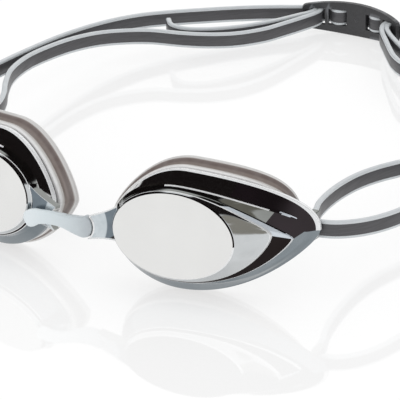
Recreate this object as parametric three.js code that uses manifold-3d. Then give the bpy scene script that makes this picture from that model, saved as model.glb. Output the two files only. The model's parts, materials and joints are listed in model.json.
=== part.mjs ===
// Racing swim goggles: two mirrored eye cups with soft gaskets, joined by a flexible nose piece and
// held by two folded bands that meet in a clip at the back of the head.
//
// Millimetres. The front frame has its origin midway between the two flat lens faces, with +X to the
// side of the right-hand cup, +Y back towards the head and +Z up. It is pitched so that the cups and
// the rear clip stand on Z = 0, and the finished model is centred on its bounding box.

import * as THREE from "three";
import { mergeVertices } from "three/addons/utils/BufferGeometryUtils.js";
import Module from "manifold-3d";

const wasm = await Module();
wasm.setup();

const DEGREE = Math.PI / 180;
const GAP = 0.3;

// Where the cups sit in the front frame.
const FACE_CENTRE_X = 35.2;
const CUP_WRAP = 9.1 * DEGREE;
const RESTING_PITCH = 14.65 * DEGREE;

// Eye cup.
const FACE_HALF_WIDTH = 19.5;
const FACE_HALF_HEIGHT = 12.9;
const LENS_THICKNESS = 1.8;
const FLANGE_THICKNESS = 1.5;
const RING_STEPS = 56;

// Gasket: how far back its sealing face lies from the lens face.
const SEAL_DEPTH = 16.8;

// Band and the bar that it is folded round.
const BAND_WIDTH = 5.6;
const BAND_THICKNESS = 1.7;
const BAR_CENTRE = { x: 70.3, y: 23.3, z: 6.4 };
const BAR_RADIUS = 1.1;
const BAND_FOLD_RADIUS = BAR_RADIUS + 0.35 + BAND_THICKNESS / 2;
const LUG_INNER = BAND_WIDTH / 2 + 0.5;
const LUG_OUTER = LUG_INNER + 1.1;
const LUG_WIDTH = 2.4;
const BAND_PLANE_SLOPE = 8.6 * DEGREE;

// Rear clip: a curved plate, measured along its arc (s), outwards from the plate's middle (t) and across.
const CLIP_CENTRE_X = -7.5;
const CLIP_BACK_Q = 162.8;
const CLIP_RADIUS = 36;
const CLIP_THICKNESS = 1.6;
const CLIP_HALF_LENGTH = 20.4;
const CLIP_MIDDLE_HEIGHT = 11.8;
const CLIP_END_HEIGHT = 8.2;
const WINDOW = { near: 3.9, far: 10.9, height: 6.4 };
const SLOT = { near: 12.2, far: 17.2, height: 6.8 };

const COLOURS = {
  mirror: 0xb9bdc0,
  gasket: 0xc9c3bd,
  nose: 0xdfeaec,
  band: 0x4a4a4e,
  clip: 0x2f2f31,
};

// --- meshes and solids ---------------------------------------------------------------------------

function meshFrom(positions, indices) {
  const geometry = new THREE.BufferGeometry();
  geometry.setAttribute("position", new THREE.Float32BufferAttribute(positions, 3));
  geometry.setIndex(indices);
  return geometry;
}

function toSolid(geometry) {
  const bare = geometry.clone();
  bare.deleteAttribute("normal");
  bare.deleteAttribute("uv");
  const merged = mergeVertices(bare, 1e-4);
  const vertProperties = new Float32Array(merged.attributes.position.array);
  const triVerts = new Uint32Array(merged.index.array);
  return new wasm.Manifold(new wasm.Mesh({ numProp: 3, vertProperties, triVerts }));
}

function toGeometry(solid) {
  const mesh = solid.getMesh();
  const geometry = meshFrom(Array.from(mesh.vertProperties), Array.from(mesh.triVerts));
  geometry.computeVertexNormals();
  return geometry;
}

// A left-hand copy: X is negated, and each triangle is turned so that it still faces out.
function mirrored(geometry) {
  const copy = geometry.clone();
  copy.scale(-1, 1, 1);
  const index = copy.index;
  for (let i = 0; i < index.count; i += 3) {
    const first = index.getX(i);
    index.setX(i, index.getX(i + 2));
    index.setX(i + 2, first);
  }
  copy.computeVertexNormals();
  return copy;
}

function extrude(shape, depth, curveSegments = 12) {
  return new THREE.ExtrudeGeometry(shape, { depth, bevelEnabled: false, curveSegments });
}

function shapeThrough(points) {
  return new THREE.Shape(points.map(([x, y]) => new THREE.Vector2(x, y)));
}

// --- outlines round an eye cup -------------------------------------------------------------------

// A closed outline in the cup's plane, with u towards the temple and v up. It is an ellipse with its
// own reach on each side. sharp draws the four quarters from an ellipse (0) towards a pointed arc (1),
// in the order temple top, nose top, nose bottom, temple bottom. lift raises the temple end.
// depth is how far back it lies at the nose, over the middle and at the temple.
function ring(nose, temple, top, bottom, depth, options = {}) {
  const { sharp = [0, 0, 0, 0], lift = 0, liftPower = 4 } = options;
  return { nose, temple, top, bottom, depth, sharp, lift, liftPower };
}

function ringPoint(outline, angle) {
  const across = Math.cos(angle);
  const upright = Math.sin(angle);
  const onTemple = across >= 0;
  const quarter = upright >= 0 ? (onTemple ? 0 : 1) : (onTemple ? 3 : 2);
  const reach = onTemple ? outline.temple : outline.nose;
  const height = upright >= 0 ? outline.top : outline.bottom;
  const pointed = outline.sharp[quarter];
  const raised = onTemple ? outline.lift * across ** outline.liftPower : 0;
  const [noseDepth, middleDepth, templeDepth] = outline.depth;
  const endDepth = onTemple ? templeDepth : noseDepth;
  return {
    u: reach * across,
    v: height * upright * (1 - pointed + pointed * Math.abs(upright)) + raised,
    d: middleDepth + (endDepth - middleDepth) * across * across,
  };
}

// From the cup's own axes to the front frame, on the right-hand side.
function cupToFront({ u, v, d }) {
  return [
    FACE_CENTRE_X + u * Math.cos(CUP_WRAP) - d * Math.sin(CUP_WRAP),
    u * Math.sin(CUP_WRAP) + d * Math.cos(CUP_WRAP),
    v,
  ];
}

function ringPositions(rings) {
  const positions = [];
  for (const outline of rings) {
    for (let step = 0; step < RING_STEPS; step += 1) {
      positions.push(...cupToFront(ringPoint(outline, (step / RING_STEPS) * 2 * Math.PI)));
    }
  }
  return positions;
}

function stripIndices(fromRing, toRing) {
  const indices = [];
  for (let step = 0; step < RING_STEPS; step += 1) {
    const next = (step + 1) % RING_STEPS;
    const a = fromRing * RING_STEPS + step;
    const b = fromRing * RING_STEPS + next;
    const c = toRing * RING_STEPS + next;
    const d = toRing * RING_STEPS + step;
    indices.push(a, d, c, a, c, b);
  }
  return indices;
}

// A fan over a flat ring. The ring's points share one plane, so it stays flat.
function fanIndices(ringNumber, facesBack) {
  const indices = [];
  const first = ringNumber * RING_STEPS;
  for (let step = 1; step < RING_STEPS - 1; step += 1) {
    const near = first + step;
    const far = first + step + 1;
    indices.push(...(facesBack ? [first, far, near] : [first, near, far]));
  }
  return indices;
}

// A bowl: its rings run from the outside of the lens back over the flange and down to the inside.
function loftBowl(rings) {
  const indices = fanIndices(0, false);
  for (let i = 0; i < rings.length - 1; i += 1) {
    indices.push(...stripIndices(i, i + 1));
  }
  indices.push(...fanIndices(rings.length - 1, true));
  return meshFrom(ringPositions(rings), indices);
}

// A closed hoop: its rings run round the section, and the last joins the first.
function loftHoop(rings) {
  const indices = [];
  for (let i = 0; i < rings.length; i += 1) {
    indices.push(...stripIndices(i, (i + 1) % rings.length));
  }
  return meshFrom(ringPositions(rings), indices);
}

// --- eye cup -------------------------------------------------------------------------------------

const FIRST_RIDGE = { sharp: [0.6, 0, 0, 0.35], lift: 4.2 };
const SECOND_RIDGE = { sharp: [0.8, 0, 0, 0.7], lift: 3.5 };
const FLANGE_SHAPE = { sharp: [0.16, 0.6, 0.05, 0.6], lift: 6.5, liftPower: 2 };

function cupShellRings() {
  const lensRim = [LENS_THICKNESS, LENS_THICKNESS, LENS_THICKNESS];
  const flangeFront = [8, 8, 12];
  const flangeRear = flangeFront.map((depth) => depth + FLANGE_THICKNESS);
  return [
    ring(FACE_HALF_WIDTH, FACE_HALF_WIDTH, FACE_HALF_HEIGHT, FACE_HALF_HEIGHT, [0, 0, 0]),
    ring(19.8, 19.9, 13.2, 13.2, [0.5, 0.5, 0.6]),
    ring(20.4, 29.5, 13.4, 13.8, [1.4, 1.2, 4], FIRST_RIDGE),
    ring(20.5, 29.8, 13.5, 13.9, [1.6, 1.5, 5.2], FIRST_RIDGE),
    ring(20.9, 35, 13.7, 14.4, [2.2, 2.2, 8], SECOND_RIDGE),
    ring(21, 35.3, 13.8, 14.5, [2.5, 2.5, 8.8], SECOND_RIDGE),
    ring(21.5, 38.6, 14.6, 14.9, [3.6, 3.8, 9.6], { sharp: [0.1, 0, 0, 0.55], lift: 6 }),
    ring(23.5, 42.2, 19, 18.3, flangeFront, FLANGE_SHAPE),
    ring(23.5, 42.2, 19, 18.3, flangeRear, FLANGE_SHAPE),
    ring(20.3, 33.5, 16, 15.4, flangeRear, { ...FLANGE_SHAPE, lift: 5 }),
    ring(18, 18.3, 11.4, 11.4, lensRim),
  ];
}

// The bar behind the temple, held by a lug above and a lug below the band. Both lie square to the
// plane that the bands run in, and reach forward into the back of the flange.
function strapBarSolid() {
  const lugReach = 5.1;
  const bar = new THREE.CylinderGeometry(BAR_RADIUS, BAR_RADIUS, 2 * LUG_OUTER, 16);
  bar.rotateX(Math.PI / 2);
  let solid = toSolid(bar);
  for (const side of [-1, 1]) {
    const lug = new THREE.BoxGeometry(LUG_WIDTH, lugReach + BAR_RADIUS, LUG_OUTER - LUG_INNER);
    lug.translate(0, (BAR_RADIUS - lugReach) / 2, (side * (LUG_OUTER + LUG_INNER)) / 2);
    solid = solid.add(toSolid(lug));
  }
  const geometry = toGeometry(solid);
  geometry.rotateX(BAND_PLANE_SLOPE);
  geometry.translate(BAR_CENTRE.x, BAR_CENTRE.y, BAR_CENTRE.z);
  return toSolid(geometry);
}

// The nose bracket: a short forked plate that stands out of the cup's nose side. Its end is hollowed
// to a round seat for the nose piece.
const SEAT_CENTRE = { x: 4, z: -3.2 };
const NOSE_END_RADIUS = 3.6;

function noseBracketSolid() {
  const seatRadius = NOSE_END_RADIUS + 0.35;
  const hornAngle = 56 * DEGREE;
  const front = new THREE.Shape();
  front.moveTo(16.6, 6.2);
  front.quadraticCurveTo(11.6, 2.8, 6.3, 0.8);
  front.absarc(SEAT_CENTRE.x, SEAT_CENTRE.z, seatRadius, hornAngle, -hornAngle, true);
  front.lineTo(6.4, -6.8);
  front.quadraticCurveTo(11.5, -5.2, 16.6, -5);
  const elevation = extrude(front, 8);
  elevation.rotateX(Math.PI / 2);
  elevation.translate(0, 4, 0);
  const plan = extrude(shapeThrough([[5, -1.5], [12.2, -1.9], [16.3, -1.9], [14.6, 1.2], [5, 1]]), 20);
  plan.translate(0, 0, -12);
  return toSolid(elevation).intersect(toSolid(plan));
}

function cupGeometry() {
  const shell = toSolid(loftBowl(cupShellRings()));
  return toGeometry(shell.add(strapBarSolid()).add(noseBracketSolid()));
}

// --- gasket --------------------------------------------------------------------------------------

const GASKET_SHAPE = { sharp: [-0.15, 0.62, 0.7, 0.3], lift: 7, liftPower: 2 };
const LIP_SHAPE = { ...FLANGE_SHAPE, sharp: [0, 0.6, 0.2, 0.6] };

function gasketGeometry() {
  const frontLip = [8, 8, 12].map((depth) => depth + FLANGE_THICKNESS + GAP);
  const at = (share) => frontLip.map((depth) => depth + (SEAL_DEPTH - depth) * share);
  return loftHoop([
    ring(20.4, 30.8, 15.9, 15.2, frontLip, { ...LIP_SHAPE, lift: 5 }),
    ring(24.4, 34.4, 19.2, 17.6, frontLip, { ...LIP_SHAPE, lift: 6.4 }),
    ring(24.8, 34.8, 19.7, 18, at(0.22), { ...LIP_SHAPE, lift: 6.6 }),
    ring(24, 33.6, 19, 17.3, at(0.42), { ...GASKET_SHAPE, lift: 6.4 }),
    ring(25.2, 34.2, 20.4, 18.5, at(0.62), GASKET_SHAPE),
    ring(26.4, 34.8, 21.4, 19.5, at(0.8), GASKET_SHAPE),
    ring(26.2, 34.6, 21.2, 19.3, at(1), GASKET_SHAPE),
    ring(20.6, 28.4, 15.6, 14.4, at(1), { ...GASKET_SHAPE, lift: 6 }),
  ]);
}

// --- nose piece ----------------------------------------------------------------------------------

// The part between the brackets has a round end in each seat. A flat lobe runs on in front of the
// left-hand bracket. The front view and the plan are each extruded, and the piece is what they share.
function nosePieceGeometry() {
  const front = new THREE.Shape();
  front.moveTo(SEAT_CENTRE.x, -0.2);
  front.absarc(SEAT_CENTRE.x, SEAT_CENTRE.z, NOSE_END_RADIUS, 0.45 * Math.PI, -0.5 * Math.PI, true);
  front.quadraticCurveTo(1.5, -6.6, -2, -5.2);
  front.quadraticCurveTo(-7, -3.9, -10.6, -5.1);
  front.quadraticCurveTo(-12.2, -6.6, -13.6, -6.2);
  front.quadraticCurveTo(-15.4, -4.6, -15.3, -2.4);
  front.quadraticCurveTo(-14.6, -0.7, -11.7, -0.3);
  front.quadraticCurveTo(-6.8, -0.2, -2.4, -0.9);
  front.quadraticCurveTo(1, -0.7, SEAT_CENTRE.x, -0.2);
  const elevation = extrude(front, 9, 8);
  elevation.rotateX(Math.PI / 2);
  elevation.translate(0, 2, 0);
  const plan = extrude(shapeThrough([
    [-16, -5.7], [-10, -4.9], [-4, -3.3], [2, -2.3], [8, -1.9],
    [8, 0.9], [0, 1.1], [-3.6, 0.2], [-6.2, -1.6], [-10, -2.9], [-16, -3.8],
  ]), 12);
  plan.translate(0, 0, -9);
  return toGeometry(toSolid(elevation).intersect(toSolid(plan)));
}

// --- bands ---------------------------------------------------------------------------------------

// The bands and the clip lie in one sloping plane through the strap bars: x across, q back along the
// slope from the bars. s runs along the clip's arc and t outwards from the middle of its plate.
function clipPoint(s, t) {
  const angle = s / CLIP_RADIUS;
  return [
    CLIP_CENTRE_X + (CLIP_RADIUS + t) * Math.sin(angle),
    CLIP_BACK_Q - CLIP_RADIUS + (CLIP_RADIUS + t) * Math.cos(angle),
  ];
}

// Each half-band starts in the clip's window, runs outside to the temple, folds round the strap bar
// and comes back inside to the clip's slot, where it doubles into a free tail.
const OUTSIDE_CLIP = CLIP_THICKNESS / 2 + 0.8 + BAND_THICKNESS / 2;
const FORK_ROOT = { s: 14.95, t: -0.4 };
const ROUTE_STEP = 2.6;
const PAD = { proud: 0.5, clearance: 0.75, steps: 8, endAngle: 1.35, margin: 0.2 };

const RIGHT_OUTER = [
  [30, 150.4], [48, 139.4], [64, 125.8], [76, 109.6], [84, 91.4], [89, 71.2], [91.2, 50],
  [91, 31.8], [89.6, 19.1], [87.6, 12.5], [85.2, 7.6], [82.4, 3.8], [79.3, 0.9], [76, -1],
];
const RIGHT_INNER = [
  [67.8, 4.6], [65.8, 10.4], [64.5, 18.6], [64.3, 27.7], [65.3, 35.8], [67.7, 43.4], [71.7, 51.5],
  [76.4, 60], [80.6, 69], [83.2, 77.8], [82, 87.4], [77, 99], [70, 109.2], [61, 117], [50, 122],
  [38, 125.2], [30.2, 127.4], [24.4, 131.8], [19.4, 137.6], [14.2, 144.2], [9.4, 150.4],
  [6.7, 155.2], [5.9, 158.4], [6.2, 160.7],
];
const RIGHT_TAIL = [
  [8.1, 159.9], [7.6, 158.2], [8.5, 155.2], [11, 151.8], [15.2, 147.4], [21.4, 141.8],
  [29.6, 135], [38.4, 130.8], [46.8, 128.2], [52.8, 129],
];
const LEFT_OUTER = [
  [-37.6, 153.8], [-48, 146.4], [-57.7, 138.2], [-66.4, 130.4], [-73.4, 122.6], [-80, 110.4],
  [-84.8, 93.4], [-87, 75.2], [-88, 58], [-88.4, 42], [-87.8, 28.4], [-86.8, 18.4], [-85.2, 12.4],
  [-83.2, 7.6], [-80.8, 3.8], [-78.4, 1], [-75.6, -1],
];
const LEFT_INNER = [
  [-67.8, 4.6], [-65.8, 10.4], [-65, 18.6], [-66.2, 27.7], [-69.8, 35.8], [-75.4, 44.6],
  [-80.8, 55.4], [-83.4, 68], [-82.8, 79.4], [-80.4, 90.4], [-76, 99.6], [-69.4, 106.4],
  [-61.4, 111.4], [-50.2, 114.6], [-42, 118], [-34.2, 123.6], [-28, 132.4], [-24.4, 142.8],
  [-22, 151], [-20.9, 155.6], [-20.7, 158.6], [-21.2, 160.7],
];
const LEFT_TAIL = [
  [-23.1, 159.9], [-22.5, 158.2], [-23.1, 155.2], [-24.9, 151.2], [-27.2, 145.8], [-30.4, 139.4],
  [-36.6, 130.4], [-44.4, 123], [-51.8, 119.2], [-58, 120], [-62.2, 124.2],
];

// Points round the strap bar, from the front of the bar to its inner side.
function foldPoints(side) {
  const angles = [-75, -105, -135, -165, -190];
  return angles.map((angle) => [
    side * (BAR_CENTRE.x + BAND_FOLD_RADIUS * Math.cos(angle * DEGREE)),
    BAND_FOLD_RADIUS * Math.sin(angle * DEGREE),
  ]);
}

function strandRoute(side, outer, inner) {
  return [
    ...[2.2, 8, 14, 20].map((s) => clipPoint(side * s, OUTSIDE_CLIP)),
    ...outer,
    ...foldPoints(side),
    ...inner,
  ];
}

function sampleRoute(points, spacing) {
  const curve = new THREE.CatmullRomCurve3(
    points.map(([x, q]) => new THREE.Vector3(x, q, 0)), false, "centripetal");
  curve.arcLengthDivisions = 800;
  const steps = Math.round(curve.getLength() / spacing);
  const samples = [];
  for (let i = 0; i <= steps; i += 1) {
    const share = i / steps;
    const point = curve.getPointAt(share);
    const along = curve.getTangentAt(share);
    samples.push({ x: point.x, q: point.y, nx: -along.y, nq: along.x });
  }
  return samples;
}

function sideOf(samples, offset) {
  return samples.map(({ x, q, nx, nq }) => [x + nx * offset, q + nq * offset]);
}

// The pad that the band pushes through the clip's window, as points along the band's inner side.
function windowPad(side) {
  const bandFace = OUTSIDE_CLIP - BAND_THICKNESS / 2;
  const depth = bandFace + CLIP_THICKNESS / 2 + PAD.proud;
  const middle = (WINDOW.near + WINDOW.far) / 2;
  const halfLength = (WINDOW.far - WINDOW.near) / 2 - PAD.clearance;
  const points = [];
  for (let i = 0; i <= PAD.steps; i += 1) {
    const share = (2 * i) / PAD.steps - 1;
    const bulge = depth * Math.cos(share * PAD.endAngle);
    points.push(clipPoint(side * (middle + share * halfLength), bandFace - bulge));
  }
  return points;
}

// The band's inner side, outwards from the middle of the clip, with the pad in place of what it covers.
function withPad(innerSide, pad, side) {
  const start = side * pad[0][0] - PAD.margin;
  const end = side * pad[pad.length - 1][0] + PAD.margin;
  const firstCovered = innerSide.findIndex(([x]) => side * x > start);
  const firstBeyond = innerSide.findIndex(([x]) => side * x > end);
  return [...innerSide.slice(0, firstCovered), ...pad, ...innerSide.slice(firstBeyond)];
}

// One outline round the strand and its tail, extruded to the band's width.
function bandGeometry(side, outer, inner, tail) {
  const half = (side * BAND_THICKNESS) / 2;
  const strand = sampleRoute(strandRoute(side, outer, inner), ROUTE_STEP);
  const free = sampleRoute(tail, ROUTE_STEP);
  const forkRoot = clipPoint(side * FORK_ROOT.s, FORK_ROOT.t);
  const innerSide = withPad(sideOf(strand, -half).slice(0, -1), windowPad(side), side);
  const outline = [
    ...sideOf(strand, half),
    ...sideOf(free, half),
    ...sideOf(free, -half).slice(1).reverse(),
    forkRoot,
    ...innerSide.reverse(),
  ];
  const geometry = extrude(shapeThrough(outline), BAND_WIDTH);
  geometry.translate(0, 0, -BAND_WIDTH / 2);
  return geometry;
}

// --- rear clip -----------------------------------------------------------------------------------

const CLIP_STEP = 2;
const CUT_MARGIN = 2;

// A block bent round the clip's arc, from one arc length to another.
function arcBlock(from, to, thickness, height) {
  const steps = Math.max(2, Math.round((to - from) / CLIP_STEP));
  const outside = [];
  const inside = [];
  for (let i = 0; i <= steps; i += 1) {
    const s = from + ((to - from) * i) / steps;
    outside.push(clipPoint(s, thickness / 2));
    inside.push(clipPoint(s, -thickness / 2));
  }
  const geometry = extrude(shapeThrough([...outside, ...inside.reverse()]), height);
  geometry.translate(0, 0, -height / 2);
  return toSolid(geometry);
}

function clipOutlineSolid() {
  const depth = 40;
  const half = CLIP_HALF_LENGTH + CUT_MARGIN;
  const rise = CLIP_MIDDLE_HEIGHT - CLIP_END_HEIGHT;
  const shape = new THREE.Shape();
  shape.moveTo(-half, -CLIP_END_HEIGHT / 2);
  shape.quadraticCurveTo(0, -CLIP_END_HEIGHT / 2 - rise, half, -CLIP_END_HEIGHT / 2);
  shape.lineTo(half, CLIP_END_HEIGHT / 2);
  shape.quadraticCurveTo(0, CLIP_END_HEIGHT / 2 + rise, -half, CLIP_END_HEIGHT / 2);
  const geometry = extrude(shape, depth, 16);
  geometry.rotateX(Math.PI / 2);
  geometry.translate(CLIP_CENTRE_X, CLIP_BACK_Q + depth / 4, 0);
  return toSolid(geometry);
}

function clipGeometry() {
  const fullHeight = CLIP_MIDDLE_HEIGHT + 2 * CUT_MARGIN;
  let plate = arcBlock(-CLIP_HALF_LENGTH, CLIP_HALF_LENGTH, CLIP_THICKNESS, fullHeight);
  plate = plate.intersect(clipOutlineSolid());
  for (const opening of [WINDOW, SLOT]) {
    for (const side of [-1, 1]) {
      const from = Math.min(side * opening.near, side * opening.far);
      const to = Math.max(side * opening.near, side * opening.far);
      plate = plate.subtract(arcBlock(from, to, CLIP_THICKNESS + CUT_MARGIN, opening.height));
    }
  }
  return toGeometry(plate);
}

// --- assembly ------------------------------------------------------------------------------------

function part(name, geometry, colour, roughness, metalness) {
  const material = new THREE.MeshStandardMaterial({ color: colour, roughness, metalness });
  const mesh = new THREE.Mesh(geometry, material);
  mesh.name = name;
  return mesh;
}

const front = new THREE.Group();
const cup = cupGeometry();
const gasket = gasketGeometry();
front.add(part("right_eye_cup", cup, COLOURS.mirror, 0.08, 1));
front.add(part("left_eye_cup", mirrored(cup), COLOURS.mirror, 0.08, 1));
front.add(part("right_gasket", gasket, COLOURS.gasket, 0.4, 0));
front.add(part("left_gasket", mirrored(gasket), COLOURS.gasket, 0.4, 0));
front.add(part("nose_piece", nosePieceGeometry(), COLOURS.nose, 0.35, 0));

const bandPlane = new THREE.Group();
bandPlane.position.set(0, BAR_CENTRE.y, BAR_CENTRE.z);
bandPlane.rotation.x = BAND_PLANE_SLOPE;
const rightBand = bandGeometry(1, RIGHT_OUTER, RIGHT_INNER, RIGHT_TAIL);
const leftBand = bandGeometry(-1, LEFT_OUTER, LEFT_INNER, LEFT_TAIL);
bandPlane.add(part("right_strap", rightBand, COLOURS.band, 0.5, 0));
bandPlane.add(part("left_strap", leftBand, COLOURS.band, 0.5, 0));
bandPlane.add(part("rear_clip", clipGeometry(), COLOURS.clip, 0.5, 0));
front.add(bandPlane);

front.rotation.x = -RESTING_PITCH;
const goggles = new THREE.Group();
goggles.add(front);
goggles.updateMatrixWorld(true);
const bounds = new THREE.Box3().setFromObject(goggles, true);
const centre = bounds.getCenter(new THREE.Vector3());
front.position.set(-centre.x, -centre.y, -bounds.min.z);

export default goggles;
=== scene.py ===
"""Racing swim goggles in Blender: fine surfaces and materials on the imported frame.

Shapes are written in millimetres in the front frame: its origin is midway between the two flat lens
faces, +X goes to the right-hand cup's side, +Y back towards the head and +Z up. TO_FRAME takes them to
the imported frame's metres.
"""

import json
import math

import bmesh
import bpy
import numpy as np
from mathutils import Matrix, Vector


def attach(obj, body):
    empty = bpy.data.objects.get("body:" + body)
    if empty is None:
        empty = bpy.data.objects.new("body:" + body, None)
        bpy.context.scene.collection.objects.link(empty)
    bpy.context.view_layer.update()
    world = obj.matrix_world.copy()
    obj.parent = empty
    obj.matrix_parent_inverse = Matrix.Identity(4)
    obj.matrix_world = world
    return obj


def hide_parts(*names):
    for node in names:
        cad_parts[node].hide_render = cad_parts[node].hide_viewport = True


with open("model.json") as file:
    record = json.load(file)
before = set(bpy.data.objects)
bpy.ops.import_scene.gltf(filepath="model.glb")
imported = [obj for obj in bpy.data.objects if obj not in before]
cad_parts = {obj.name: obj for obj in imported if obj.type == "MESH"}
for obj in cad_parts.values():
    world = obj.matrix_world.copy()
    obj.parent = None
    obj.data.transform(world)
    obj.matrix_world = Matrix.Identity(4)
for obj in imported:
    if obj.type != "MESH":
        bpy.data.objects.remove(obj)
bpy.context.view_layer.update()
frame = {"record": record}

MM = 0.001
SIDES = {"right": 1, "left": -1}

# The design's sizes, as in the CAD part.
FACE_CENTRE_X = 35.2
CUP_WRAP = math.radians(9.1)
SEAL_DEPTH = 16.8
FLANGE_FRONT = np.array([8.0, 8.0, 12.0])
FLANGE_THICKNESS = 1.5
GASKET_GAP = 0.3
BAND_WIDTH = 5.6
BAND_THICKNESS = 1.7
BAR_CENTRE = Vector((70.3, 23.3, 6.4))
BAR_RADIUS = 1.1
BAND_FOLD_RADIUS = BAR_RADIUS + 0.35 + BAND_THICKNESS / 2
BAND_PLANE_SLOPE = math.radians(8.6)
CLIP_CENTRE_X = -7.5
CLIP_BACK_Q = 162.8
CLIP_RADIUS = 36
CLIP_THICKNESS = 1.6
CLIP_HALF_LENGTH = 20.4
CLIP_MIDDLE_HEIGHT = 11.8
CLIP_END_HEIGHT = 8.2

# The clip's openings, along its arc from its middle. They are lower than the CAD part's, so that no
# light shows past the band's edges.
WINDOW = {"near": 3.9, "far": 10.9, "height": 5.8}
SLOT = {"near": 12.2, "far": 17.2, "height": 6}

# Points round an outline of the cup, and steps across the flat between two corners of a profile.
RING_STEPS = 288
FLAT_STEPS = 3

# A profile's corners are numbered 0, 1, 2 and so on. The rounding of each takes up this much.
CORNER_SPAN = 0.2


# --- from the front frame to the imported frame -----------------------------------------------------

def mount(name):
    """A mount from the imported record."""
    return next(m for m in frame["record"]["mounts"] if m["name"] == name)


def front_matrix():
    """The front frame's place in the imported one: midway between the lens faces, pitched as they are."""
    right = mount("right_lens_face")
    left = mount("left_lens_face")
    origin = (Vector(right["pos_m"]) + Vector(left["pos_m"])) / 2
    normal = Vector(right["axis"])
    pitch = math.atan2(normal.z, -normal.y)
    return Matrix.Translation(origin) @ Matrix.Rotation(-pitch, 4, "X") @ Matrix.Scale(MM, 4)


TO_FRAME = front_matrix()
BAND_TILT = Matrix.Rotation(BAND_PLANE_SLOPE, 4, "X")
BAND_PLANE = Matrix.Translation((0, BAR_CENTRE.y, BAR_CENTRE.z)) @ BAND_TILT


def transformed(points, matrix):
    array = np.array(matrix)
    return np.asarray(points, float) @ array[:3, :3].T + array[:3, 3]


# --- camera ---------------------------------------------------------------------------------------

def make_camera():
    """A long lens, in front of the goggles, to their right and a little above."""
    azimuth, elevation, roll = (math.radians(angle) for angle in (31.12, 15.95, -4.0))
    distance, target_right, target_up = 892.55, 38.01, 3.79
    back = Vector((
        math.sin(azimuth) * math.cos(elevation),
        -math.cos(azimuth) * math.cos(elevation),
        math.sin(elevation),
    ))
    level = Vector((math.cos(azimuth), math.sin(azimuth), 0))
    upright = back.cross(level)
    right = math.cos(roll) * level - math.sin(roll) * upright
    up = math.cos(roll) * upright + math.sin(roll) * level
    place = distance * back + target_right * right + target_up * up
    axes = Matrix((right, up, back)).transposed().to_4x4()
    turn = TO_FRAME.to_3x3().normalized().to_4x4()
    data = bpy.data.cameras.new("camera")
    data.sensor_width = 36
    data.lens = 264.3
    data.clip_start = 0.05
    data.clip_end = 50
    camera = bpy.data.objects.new("camera", data)
    bpy.context.scene.collection.objects.link(camera)
    camera.matrix_world = Matrix.Translation(TO_FRAME @ place) @ turn @ axes
    bpy.context.scene.camera = camera


# --- node trees -----------------------------------------------------------------------------------

class Tree:
    """Short calls for building a node tree."""

    def __init__(self, node_tree):
        self.nodes = node_tree.nodes
        self.links = node_tree.links

    def add(self, kind, inputs=None, **settings):
        node = self.nodes.new("ShaderNode" + kind)
        for key, value in settings.items():
            setattr(node, key, value)
        for key, value in (inputs or {}).items():
            if isinstance(value, bpy.types.NodeSocket):
                self.links.new(value, node.inputs[key])
            else:
                node.inputs[key].default_value = value
        return node

    def noise(self, scale, detail=3.0, stretch=(1, 1, 1)):
        where = self.add("Mapping", {"Vector": self.add("TexCoord").outputs["Object"], "Scale": stretch})
        texture = self.add("TexNoise", {"Vector": where.outputs[0], "Scale": scale, "Detail": detail})
        return texture.outputs["Fac"]

    def ramp(self, factor, stops):
        node = self.add("ValToRGB", {"Fac": factor})
        elements = node.color_ramp.elements
        while len(elements) < len(stops):
            elements.new(0.5)
        for element, (position, colour) in zip(elements, stops):
            element.position = position
            element.color = (*colour, 1)
        return node.outputs["Color"]

    def span(self, value, low, high, to_low=0.0, to_high=1.0, smooth=False):
        kind = "SMOOTHSTEP" if smooth else "LINEAR"
        node = self.add(
            "MapRange", {0: value, 1: low, 2: high, 3: to_low, 4: to_high}, interpolation_type=kind)
        return node.outputs[0]

    def mix(self, factor, first, second):
        node = self.add("Mix", {0: factor, 6: first, 7: second}, data_type="RGBA")
        return node.outputs[2]

    def bump(self, height, strength, distance):
        node = self.add("Bump", {"Height": height, "Strength": strength, "Distance": distance})
        return node.outputs["Normal"]


def new_material(name, **sockets):
    """A Principled material. sockets are set on the shader, with _ for a space in their names."""
    material = bpy.data.materials.new(name)
    material.use_nodes = True
    tree = Tree(material.node_tree)
    shader = material.node_tree.nodes["Principled BSDF"]
    for key, value in sockets.items():
        shader.inputs[key.replace("_", " ")].default_value = value
    return material, tree, shader


def link(tree, shader, **sockets):
    """Links node outputs to the shader's sockets, which are named as in new_material."""
    for key, value in sockets.items():
        tree.links.new(value, shader.inputs[key.replace("_", " ")])


# --- materials ------------------------------------------------------------------------------------

def mirror_material(name, light, dark, roughness, metallic=1.0):
    """Vapour-coated polycarbonate: a metal film with faint clouding, fine grain and hairline scuffs."""
    material, tree, shader = new_material(name, Metallic=metallic)
    cloud = tree.noise(90, 4)
    grain = tree.noise(5200, 2)
    scuffs = tree.noise(700, 5, stretch=(1, 1, 9))
    link(
        tree, shader,
        Base_Color=tree.mix(tree.span(cloud, 0.3, 0.7), (*light, 1), (*dark, 1)),
        Roughness=tree.span(scuffs, 0.35, 0.75, roughness, roughness + 0.06),
        Normal=tree.bump(grain, 0.05, 0.00002),
    )
    return material


def ridge_highlight_material():
    """The rounded edges, painted as a pale silver highlight line: a near-matt pale colour stands in for the
    light the mirror catches there.
    """
    material, tree, shader = new_material("ridge_painted_highlight", Metallic=0.25, Coat_Weight=0.5, Coat_Roughness=0.1)
    wear = tree.noise(600, 4)
    link(
        tree, shader,
        Base_Color=tree.ramp(wear, [(0.3, (0.8, 0.81, 0.82)), (0.7, (0.84, 0.85, 0.86))]),
        Roughness=tree.span(wear, 0.3, 0.7, 0.2, 0.34),
        Normal=tree.bump(tree.noise(3200, 2), 0.06, 0.00002),
    )
    return material


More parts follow.
